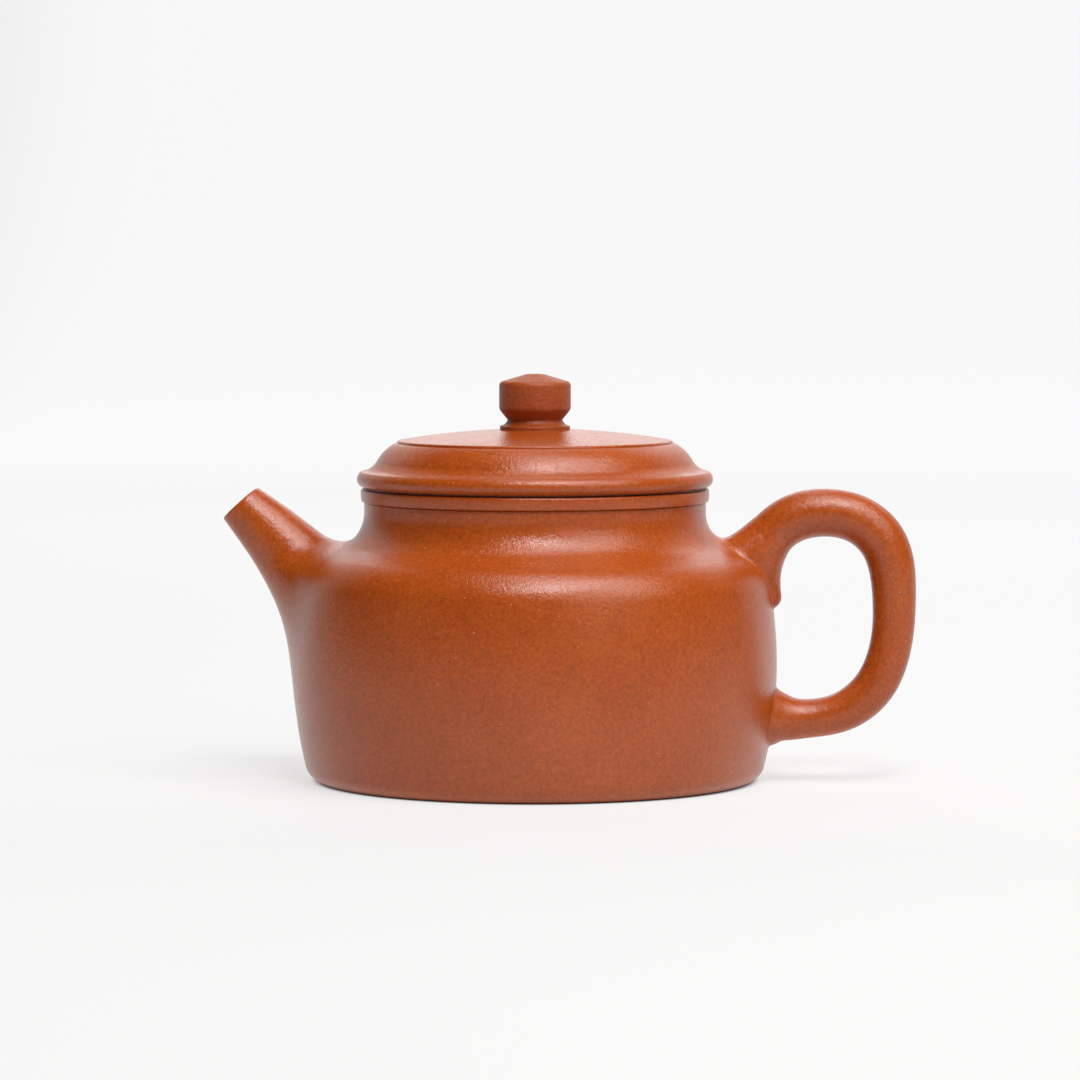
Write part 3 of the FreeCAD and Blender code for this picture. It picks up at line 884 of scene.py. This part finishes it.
@dataclass
class Luted:
    """A piece that is stuck on the body with slip and smoothed into it.

    Its skin is the surface where its own distance and the body's run together, so the root is a fillet.
    """

    pot: PotBody
    name: str
    node: str
    cell: float = 0.36
    margin: float = 9.0  # room for the fillet round the solid
    lift: float = 0.012  # height of the fillet's end over the body
    foot_depth: float = 1.1  # how far the piece reaches under the body's skin
    foot_room: float = 0.25  # and past the fillet
    feather: float = 0.12  # height below which the skin takes over the body's slope
    body_reach: float = 0.002  # small steps by which that slope is measured
    relaxings: int = 6
    root_blend: float = 1.0  # fillet on the flanks and below
    valley_blend: float = 7.0  # fillet in the valley at the neck
    valley_from: float = 40.5  # heights between which the one turns into the other
    valley_full: float = 46.0

    def gap(self, points: Array, coarse: bool = False) -> Array:
        """Distance of points from the piece alone."""
        raise NotImplementedError

    def blend(self, points: Array) -> Array:
        """Size of the fillet on the body at points."""
        share = smooth_step(self.valley_from, self.valley_full, points[:, 2])
        return self.root_blend + (self.valley_blend - self.root_blend) * share

    def pierced(self, points: Array, solid: Array, coarse: bool = False) -> Array:
        """The distance solid with what is cut out of the piece taken away."""
        return solid

    def skin(self, points: Array) -> Array:
        """Distance from the piece and the body together, for the slope of the visible skin."""
        joined = smooth_min(self.gap(points), self.pot.over_skin(points), self.blend(points))
        return self.pierced(points, joined)

    def solid(self, points: Array, coarse: bool = False) -> Array:
        """Distance from the piece with a thin foot under the body's skin."""
        body, gap, k = self.pot.over_skin(points), self.gap(points, coarse), self.blend(points)
        foot = np.maximum(-(body + self.foot_depth), gap - k - self.foot_room)
        return self.pierced(points, np.maximum(smooth_min(gap, body + self.lift, k), foot), coarse)

    def finish_of(self, middles: Array) -> Array:
        """Numbers of the finish at the middles of the faces."""
        return np.full(len(middles), Clay.BURNISHED.value)

    def build(self, finishes: Finishes) -> None:
        """Makes and dresses the piece."""
        low, high = (np.array(v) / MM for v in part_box(self.node))
        rough = partial(self.solid, coarse=True)
        points, quads = skin_of(rough, low - self.margin, high + self.margin, self.cell)
        for _ in range(self.relaxings):
            points = settled(rough, relaxed(points, quads), 1)
        points = settled(self.solid, points, 2)
        share = smooth_step(0.0, self.feather, np.abs(self.pot.over_skin(points)))[:, None]
        body_slope = unit(slope_of(self.pot.over_skin, points, self.body_reach))
        normals = unit(unit(slope_of(self.skin, points)) * share + body_slope * (1.0 - share))
        mesh = bpy.data.meshes.new(self.name)
        mesh.from_pydata((points * MM).tolist(), [], quads.tolist(), shade_flat=False)
        mesh.polygons.foreach_set("material_index", self.finish_of(points[quads].mean(axis=1)))
        mesh.normals_split_custom_set_from_vertices(normals.tolist())
        made = linked(self.name, mesh)
        finishes.dress(made)
        seat_piece(made, Body.POT, Clay.BURNISHED, self.node)


class SpoutRow(NamedTuple):
    """One section of the spout, from the shoulder's centre: edges out and up, and half the width."""

    high_out: float
    high_up: float
    low_out: float
    low_up: float
    half_width: float


@dataclass
class Spout(Luted):
    """Tapered tube that flows out of the shoulder, with the strainer behind it."""

    name: str = "spout_tube"
    node: str = "spout"
    margin: float = 16.0
    rows: tuple[SpoutRow, ...] = (
        SpoutRow(16.26, 19.62, 22.66, 13.82, 4.28),
        SpoutRow(10.52, 15.74, 18.39, 7.9, 5.5),
        SpoutRow(6.08, 12.42, 14.66, 2.32, 6.7),
    )
    buried: int = 3  # further rows, straight on into the body
    tube_samples: int = 90
    channel_samples: int = 61
    coarse_step: int = 3
    lip_wall: float = 1.4
    lip_ease: float = 0.72  # fillets at the lip, outside and inside
    bore_ease: float = 0.576
    wall: float = 1.8
    hole_r: float = 4.8
    hole_tilt: float = 20.0
    root_blend: float = 13.0
    valley_blend: float = 5.0
    valley_from: float = 38.0
    bore_near: float = 0.1  # a face this near the channel
    bore_deep: float = 0.7  # and this deep in the tube is inside

    def __post_init__(self) -> None:
        """Places the sections of the tube and of its channel in the pot's frame."""
        out, up = self.pot.shoulder.centre
        flat = np.array(self.rows)
        inner = [flat[-1] + n * (flat[-1] - flat[-2]) for n in range(1, self.buried + 1)]
        flat = np.vstack([flat, inner])
        level = np.zeros(len(flat))
        high, low = (
            np.stack([-out - flat[:, i], level, up + flat[:, i + 1]], axis=1) for i in (0, 2)
        )
        table = np.hstack([(high + low) / 2.0, (high - low) / 2.0, flat[:, 4:]])
        self.tube = resampled(table, 3, self.tube_samples)
        tilt = math.radians(self.hole_tilt)
        axis = np.array([-math.cos(tilt), 0.0, math.sin(tilt)])
        square = np.array([axis[2], 0.0, -axis[0]])
        start = np.array([-out, 0.0, up]) + axis * (self.pot.shoulder_round - self.wall)
        rows = []
        for row, inset in ((table[0], self.lip_wall), (table[1], self.wall)):
            half = row[3:6] * (1.0 - inset / np.linalg.norm(row[3:6]))
            rows.append(np.hstack([row[:3], half, row[6] - inset]))
        rows.append(np.hstack([start, square * self.hole_r, self.hole_r]))
        self.channel = resampled(np.array(rows), 3, self.channel_samples)

    @staticmethod
    def off_tube(points: Array, rows: Array) -> Array:
        """Distance of points from a tube of oval sections.

        Args:
            points: points to measure.
            rows: sections from tip to root, each its centre, half its height as a vector and half its width.

        Returns:
            One distance for each point, below zero inside.
        """
        ahead = np.gradient(rows[:, :3], axis=0)
        square = np.stack([rows[:, 5], np.zeros(len(rows)), -rows[:, 3]], axis=1)
        square *= np.sign(np.einsum("ij,ij->i", square, ahead))[:, None]
        past = (points - rows[0, :3]) @ square[0]
        place, open_ = np.zeros(len(points)), past > 0
        for i in range(1, len(rows)):
            more = (points - rows[i, :3]) @ square[i]
            here = open_ & (more <= 0)
            place[here] = i - 1 + past[here] / (past[here] - more[here])
            open_ &= more > 0
            past = more
        place[open_] = len(rows) - 1
        low = np.minimum(place.astype(int), len(rows) - 2)
        part = (place - low)[:, None]
        row = rows[low] * (1.0 - part) + rows[low + 1] * part
        tall, wide = np.linalg.norm(row[:, 3:6], axis=1), row[:, 6]
        up = np.einsum("ij,ij->i", points - row[:, :3], row[:, 3:6]) / tall
        side = points[:, 1]
        size = np.hypot(up / tall, side / wide)
        rise = np.hypot(up / tall**2, side / wide**2)
        return (size - 1.0) * size / np.maximum(rise, TINY)

    def gap(self, points: Array, coarse: bool = False) -> Array:
        """Distance from the tube, cut off level at its lip."""
        tube = self.off_tube(points, self.tube[:: self.coarse_step] if coarse else self.tube)
        first = self.tube[0]
        out = unit(np.array([-first[5], 0.0, first[3]]))
        return -smooth_min(-tube, -(points - first[:3]) @ out, self.lip_ease)

    def pierced(self, points: Array, solid: Array, coarse: bool = False) -> Array:
        """The tube with its channel taken out and the lip's inner edge rounded."""
        channel = self.off_tube(points, self.channel[:: self.coarse_step] if coarse else self.channel)
        return -smooth_min(-solid, channel, self.bore_ease)

    def finish_of(self, middles: Array) -> Array:
        """Plain clay in the channel."""
        near = self.off_tube(middles, self.channel) < self.bore_near
        deep = near & (self.gap(middles) < -self.bore_deep)
        return np.where(deep, Clay.PLAIN.value, Clay.BURNISHED.value)

    def build(self, finishes: Finishes) -> None:
        """Makes and dresses the spout, and dresses the strainer."""
        super().build(finishes)
        finishes.dress_solid("spout_strainer")


@dataclass
class Handle(Luted):
    """Rolled ear handle with the small tail drawn down from its upper root."""

    name: str = "handle_roll"
    node: str = "handle"
    reach: float = 25.7
    over_mouth: float = 0.2
    low_z: float = 11.7
    top_t: float = 8.9  # thickness of the roll, from the top round to the lower root
    side_t: float = 8.1
    low_t: float = 7.4
    root_t: float = 9.2
    buried_t: float = 11.5
    width_ratio: float = 1.04
    tail_top: tuple[float, float] = (5.89, 8.2)  # from the shoulder's centre
    tail_end: tuple[float, float] = (7.89, -0.35)
    tail_top_r: float = 3.9
    tail_waist_r: float = 2.4
    tail_waist_at: float = 0.55
    tail_end_r: float = 2.1
    tail_blend: float = 4.4
    roll_samples: int = 260
    tail_samples: int = 16
    coarse_step: int = 7

    def __post_init__(self) -> None:
        """Samples the centre lines of the roll and its tail with their radii."""
        far = self.reach - self.side_t / 2.0
        tall = self.pot.mouth_z + self.over_mouth - self.top_t / 2.0 - self.low_z
        low_side = (self.low_t + self.side_t) / 2.0
        # each row: share of the reach, share of the height, thickness
        loop = np.array([
            (-0.28, 0.725, self.buried_t),
            (-0.10, 0.862, self.top_t),
            (0.11, 0.963, self.top_t),
            (0.43, 1.0, self.top_t),
            (0.69, 0.967, self.top_t),
            (0.88, 0.878, self.top_t),
            (1.0, 0.60, self.side_t),
            (0.955, 0.315, low_side),
            (0.824, 0.153, low_side),
            (0.563, 0.037, self.low_t),
            (0.22, 0.0, self.low_t),
            (0.11, 0.0, (2 * self.low_t + self.root_t) / 3.0),
            (0.0, 0.008, self.root_t),
            (-0.12, 0.012, self.buried_t),
        ])
        loop = loop * (far, tall, 0.5) + (self.pot.belly_r, self.low_z, 0.0)
        self.roll = resampled(loop, 2, self.roll_samples)
        top, end = (self.pot.shoulder.centre + np.array(v) for v in (self.tail_top, self.tail_end))
        waist = top + (end - top) * self.tail_waist_at
        marks = ((top, self.tail_top_r), (waist, self.tail_waist_r), (end, self.tail_end_r))
        self.tail = resampled(np.array([[*place, r] for place, r in marks]), 2, self.tail_samples)

    @staticmethod
    def off_line(points: Array, line: Array) -> Array:
        """Distance of points from a tapered round line, given as rows of x, z and radius."""
        best = np.full(len(points), np.inf)
        for a, b in zip(line[:-1], line[1:]):
            way = b[:2] - a[:2]
            dx, dz = points[:, 0] - a[0], points[:, 2] - a[1]
            t = np.clip((dx * way[0] + dz * way[1]) / float(way @ way), 0.0, 1.0)
            far = np.sqrt((dx - t * way[0]) ** 2 + points[:, 1] ** 2 + (dz - t * way[1]) ** 2)
            np.minimum(best, far - a[2] - t * (b[2] - a[2]), out=best)
        return best

    def gap(self, points: Array, coarse: bool = False) -> Array:
        """Distance from the roll and its tail, run together."""
        thin = points / np.array([1.0, self.width_ratio, 1.0])
        roll = self.off_line(thin, self.roll[:: self.coarse_step] if coarse else self.roll)
        return smooth_min(roll, self.off_line(points, self.tail), self.tail_blend)


# The lid


@dataclass
class Lid:
    """Hat-shaped lid: rim line, dome, cover disc and the wall that centres it in the neck."""

    pot: PotBody
    fit: float = 0.25
    flange_wall: float = 2.3
    flange_depth: float = 8.35
    flange_lead: float = 0.3
    flange_lead_height: float = 3.0
    flange_eases: tuple[float, float, float] = (0.45, 0.6, 0.8)  # inner edge, outer edge, start of the lead
    bead_proud: float = 0.72
    bead_height: float = 3.2
    bead_middle: float = 1.75  # height of its widest line
    bead_undercut: float = 0.9
    bead_lift: float = 0.4  # open line between its outer edge and the mouth ring
    bead_low_ease: float = 0.15
    bead_ease: float = 0.14
    seat_inset: float = 1.4  # how far in from the ring's face the two touch
    bead_shoulder: float = 0.75
    cove_width: float = 2.82
    cove_rise: float = 1.7
    cove_sag: float = 0.36
    dome_width: float = 3.55
    dome_rise: float = 3.55
    dome_sag: float = 0.38
    dome_ease: float = 0.3
    thick: float = 2.8
    hollow_edge: float = 2.3
    ledge: float = 0.35
    disc_edge: float = 0.46
    disc_lean: float = 0.06
    disc_ease: float = 0.3
    disc_rise: float = 2.13
    disc_thick: float = 1.2
    vent_r: float = 1.1
    vent_mouth: float = 2.2
    vent_mouth_depth: float = 1.5
    vent_ease: float = 0.5
    vent_mouth_ease: float = 0.4
    segments: int = 256
    step: float = 0.7

    def __post_init__(self) -> None:
        """Works out the places that follow from the sizes."""
        seat = self.pot.mouth_z
        self.bead_r = self.pot.ring_r + self.bead_proud
        self.flange_r = self.pot.mouth_r - self.fit
        self.flange_in = self.flange_r - self.flange_wall
        self.bead_top = (self.bead_r - self.bead_shoulder, seat + self.bead_height)
        self.dome_foot = (self.bead_top[0] - self.cove_width, self.bead_top[1] + self.cove_rise)
        self.dome_top = (self.dome_foot[0] - self.dome_width, self.dome_foot[1] + self.dome_rise)
        self.under = (self.flange_in, seat + self.hollow_edge)
        self.disc_r, rim = self.dome_top[0] - self.ledge, self.dome_top[1]
        self.disc_top = Crown(self.disc_r - self.disc_ease, rim + self.disc_edge, self.disc_rise)
        self.disc_under = Crown(self.disc_r, rim, self.disc_edge + self.disc_rise - self.disc_thick)
        self.vent_low = self.disc_under.height(self.vent_r) - self.thick
        self.hollow = Crown(*self.under, self.vent_low - self.under[1])

    def flange_outline(self) -> list[Corner]:
        """Wall under the lid, drawn in a little at its lower end."""
        seat = self.pot.mouth_z
        low = seat - self.flange_depth
        inner, outer, lead = self.flange_eases
        return [
            matt(self.flange_in, low, inner),
            matt(self.flange_r - self.flange_lead, low, outer),
            matt(self.flange_r, low + self.flange_lead_height, lead),
            matt(self.flange_r, seat),
            matt(self.flange_in, seat),
        ]

    @staticmethod
    def quarter_sag(width: float, height: float) -> float:
        """Bulge of an arc that starts or ends upright and spans a width and a height."""
        return math.hypot(width, height) / 2.0 * math.tan(math.atan2(width, height) / 2.0)

    def bead_outline(self) -> list[Corner]:
        """Round rim line with a sharp upper edge, and the hollow sweep up to the dome."""
        seat = self.pot.mouth_z
        touch, lip = self.pot.ring_r - self.seat_inset, seat + self.bead_lift
        below = self.quarter_sag(self.bead_undercut, self.bead_middle - self.bead_lift)
        above = self.quarter_sag(self.bead_shoulder, self.bead_height - self.bead_middle)
        return [
            matt(self.flange_in, seat),
            matt(touch, seat),
            matt(touch, lip),
            Corner(self.bead_r - self.bead_undercut, lip, ease=self.bead_low_ease, sag=below),
            Corner(self.bead_r, seat + self.bead_middle, sag=above),
            Corner(*self.bead_top, ease=self.bead_ease, sag=-self.cove_sag),
            Corner(*self.dome_foot),
            matt(*self.under),
        ]

    def dome_outline(self) -> list[Corner]:
        """Domed slab with the narrow ledge round the cover disc, hollow below."""
        vent = self.vent_r
        return [
            Corner(*self.dome_foot, sag=self.dome_sag),
            Corner(*self.dome_top, ease=self.dome_ease),
            self.disc_under.corner(self.disc_r, vent),
            self.disc_under.corner(vent, finish=Clay.PLAIN),
            matt(vent, self.vent_low + self.vent_mouth_depth, self.vent_ease),
            self.hollow.corner(
                self.vent_mouth, self.flange_in, ease=self.vent_mouth_ease, finish=Clay.PLAIN
            ),
            matt(*self.under),
        ]

    def disc_outline(self) -> list[Corner]:
        """Thin crowned cover disc with a softened edge."""
        rim, edge = self.dome_top[1], self.disc_r - self.disc_lean
        crown = self.disc_top.sag(edge, self.vent_r)
        return [
            Corner(self.disc_r, rim),
            Corner(edge, rim + self.disc_edge, ease=self.disc_ease, sag=crown),
            self.disc_top.corner(self.vent_r, finish=Clay.PLAIN),
            self.disc_under.corner(self.vent_r, self.disc_r),
        ]

    def build(self, finishes: Finishes) -> None:
        """Makes and dresses every turned piece of the lid."""
        for piece in (
            Turning("lid_wall", "lid_flange", self.flange_outline(), Clay.PLAIN),
            Turning("lid_rim_line", "lid_bead", self.bead_outline()),
            Turning("lid_dome", "lid_plate", self.dome_outline()),
            Turning("lid_cover", "lid_disc", self.disc_outline()),
        ):
            piece.build(Body.LID, finishes, self.segments, self.step, finishes.burnished)


@dataclass
class Knob:
    """Drum knob on a thin flared foot, pierced by the vent."""

    lid: Lid
    foot_r: float = 6.5
    foot_thick: float = 0.75
    foot_ease: float = 0.22
    waist_r: float = 5.1
    waist_rise: float = 1.15
    waist_sag: float = 0.29
    drum_r: float = 6.65
    chamfer_rise: float = 1.9
    chamfer_ease: float = 0.5
    drum: float = 5.05
    drum_ease: float = 0.75
    cone_rise: float = 1.5
    lip: float = 0.5
    lip_ease: float = 0.25
    segments: int = 160
    step: float = 0.5

    def __post_init__(self) -> None:
        """Works out the heights of foot and waist."""
        self.foot_top = self.lid.disc_top.height(self.foot_r) + self.foot_thick
        self.waist_z = self.foot_top + self.waist_rise

    def foot_outline(self) -> list[Corner]:
        """Thin foot, drawn in to the waist."""
        vent = self.lid.vent_r
        return [
            self.lid.disc_top.corner(self.foot_r),
            Corner(self.foot_r, self.foot_top, ease=self.foot_ease, sag=-self.waist_sag),
            Corner(self.waist_r, self.waist_z),
            matt(vent, self.waist_z),
            self.lid.disc_top.corner(vent, self.foot_r),
        ]

    def drum_outline(self) -> list[Corner]:
        """Chamfer, drum, rounded edge and low cone round the vent."""
        vent, low = self.lid.vent_r, self.waist_z + self.chamfer_rise
        top = low + self.drum
        return [
            Corner(self.waist_r, self.waist_z),
            Corner(self.drum_r, low, ease=self.chamfer_ease),
            Corner(self.drum_r, top, ease=self.drum_ease),
            Corner(vent + self.lip, top + self.cone_rise, ease=self.lip_ease),
            matt(vent, top + self.cone_rise, self.lip_ease),
            Corner(vent, self.waist_z),
        ]

    def build(self, finishes: Finishes) -> None:
        """Makes and dresses foot and drum."""
        for piece in (
            Turning("knob_neck", "knob_foot", self.foot_outline()),
            Turning("knob_drum", "knob", self.drum_outline()),
        ):
            piece.build(Body.LID, finishes, self.segments, self.step, finishes.turned)


# The studio

LIGHT_FLOOR = 0.03  # height over which the lights are placed
AIM = Vector((0.0, 0.0, 0.035))


@dataclass
class Softbox:
    """A soft light that looks at the pot, placed by its angles round from the camera and up."""

    name: str
    around: float
    up: float
    power: float
    width: float = 0.25
    height: float = 0.25
    distance: float = 0.9

    def build(self, turn: float) -> None:
        """Makes the light, with the camera turned by so many degrees."""
        data = bpy.data.lights.new(self.name, "AREA")
        data.shape = "RECTANGLE"
        data.size = self.width
        data.size_y = self.height
        data.energy = self.power
        made = linked(self.name, data)
        a, e = math.radians(self.around + turn), math.radians(self.up)
        level, rise = self.distance * math.cos(e), self.distance * math.sin(e)
        made.location = (level * math.sin(a), -level * math.cos(a), rise + LIGHT_FLOOR)
        made.rotation_mode = "QUATERNION"
        made.rotation_quaternion = (AIM - made.location).to_track_quat("-Z", "Y")


@dataclass
class Studio:
    """White paper sweep, soft lights and the camera, in metres."""

    sky_strength: float = 0.01
    turn: float = 5.0  # degrees that the camera stands round towards the handle
    distance: float = 0.9
    height: float = 0.1028
    aside: float = 0.00093
    pitch: float = 3.698
    lens: float = 161.67
    sensor: float = 36.0
    sweep_reach: float = 3.0  # to the front and to both sides
    sweep_bend: float = 0.5
    sweep_behind: float = 1.3  # where the bend starts
    sweep_top: float = 2.2
    sweep_steps: int = 25
    lights: tuple[Softbox, ...] = (
        Softbox("key_box", 48.0, 66.0, 3.2, 0.6, 0.3),
        Softbox("front_key_box", 7.0, 55.0, 3.7, 0.24, 0.18),
        Softbox("right_box", 55.0, 44.0, 1.6, 0.3, 0.3),
        Softbox("low_front_box", 34.0, 28.0, 1.0, 0.45),
        Softbox("overhead_box", 0.0, 84.0, 1.3),
        Softbox("back_top_box", 180.0, 60.0, 0.4),
        Softbox("back_low_box", 180.0, 22.0, 0.35, 0.4, 0.2),
        Softbox("back_right_box", 150.0, 34.0, 0.15, 0.2, 0.2),
    )

    def build(self) -> None:
        """Makes floor, backdrop, lights and camera."""
        self.sweep()
        for light in self.lights:
            light.build(self.turn)
        world = bpy.data.worlds.new("white_room")
        nodes = Nodes(world)
        back = nodes.add("Background", {"Color": WHITE, "Strength": self.sky_strength})
        nodes.add("OutputWorld", {"Surface": back.outputs["Background"]})
        bpy.context.scene.world = world
        bpy.context.scene.view_settings.view_transform = "Standard"
        self.camera()

    def sweep(self) -> None:
        """Floor that curves up into the backdrop behind the pot."""
        edge = [(-self.sweep_reach, 0.0)]
        for a in np.linspace(0.0, math.pi / 2.0, self.sweep_steps):
            out, up = self.sweep_bend * math.sin(a), self.sweep_bend * (1.0 - math.cos(a))
            edge.append((self.sweep_behind + out, up))
        edge.append((self.sweep_behind + self.sweep_bend, self.sweep_top))
        points = [(x, y, z) for y, z in edge for x in (-self.sweep_reach, self.sweep_reach)]
        faces = [(2 * i, 2 * i + 1, 2 * i + 3, 2 * i + 2) for i in range(len(edge) - 1)]
        mesh = bpy.data.meshes.new("paper_sweep")
        mesh.from_pydata(points, [], faces, shade_flat=False)
        mesh.materials.append(PaperSweep().material())
        linked("paper_sweep", mesh)

    def camera(self) -> None:
        """Long lens a little above the pot, turned towards the handle."""
        data = bpy.data.cameras.new("studio_camera")
        data.lens = self.lens
        data.sensor_width = self.sensor
        made = linked("studio_camera", data)
        a = math.radians(self.turn)
        x, y = self.aside, -self.distance
        made.location = (x * math.cos(a) - y * math.sin(a), x * math.sin(a) + y * math.cos(a), self.height)
        made.rotation_euler = (math.radians(90.0 - self.pitch), 0.0, a)
        bpy.context.scene.camera = made


def main() -> None:
    """Builds the pot, the lid and the studio round the frame."""
    logging.basicConfig(level=logging.INFO, format="%(name)s: %(message)s")
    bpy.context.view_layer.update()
    finishes = Finishes()
    pot = PotBody()
    pot.build(finishes)
    Spout(pot).build(finishes)
    Handle(pot).build(finishes)
    lid = Lid(pot)
    lid.build(finishes)
    Knob(lid).build(finishes)
    Studio().build()


if __name__ == "__main__":
    main()
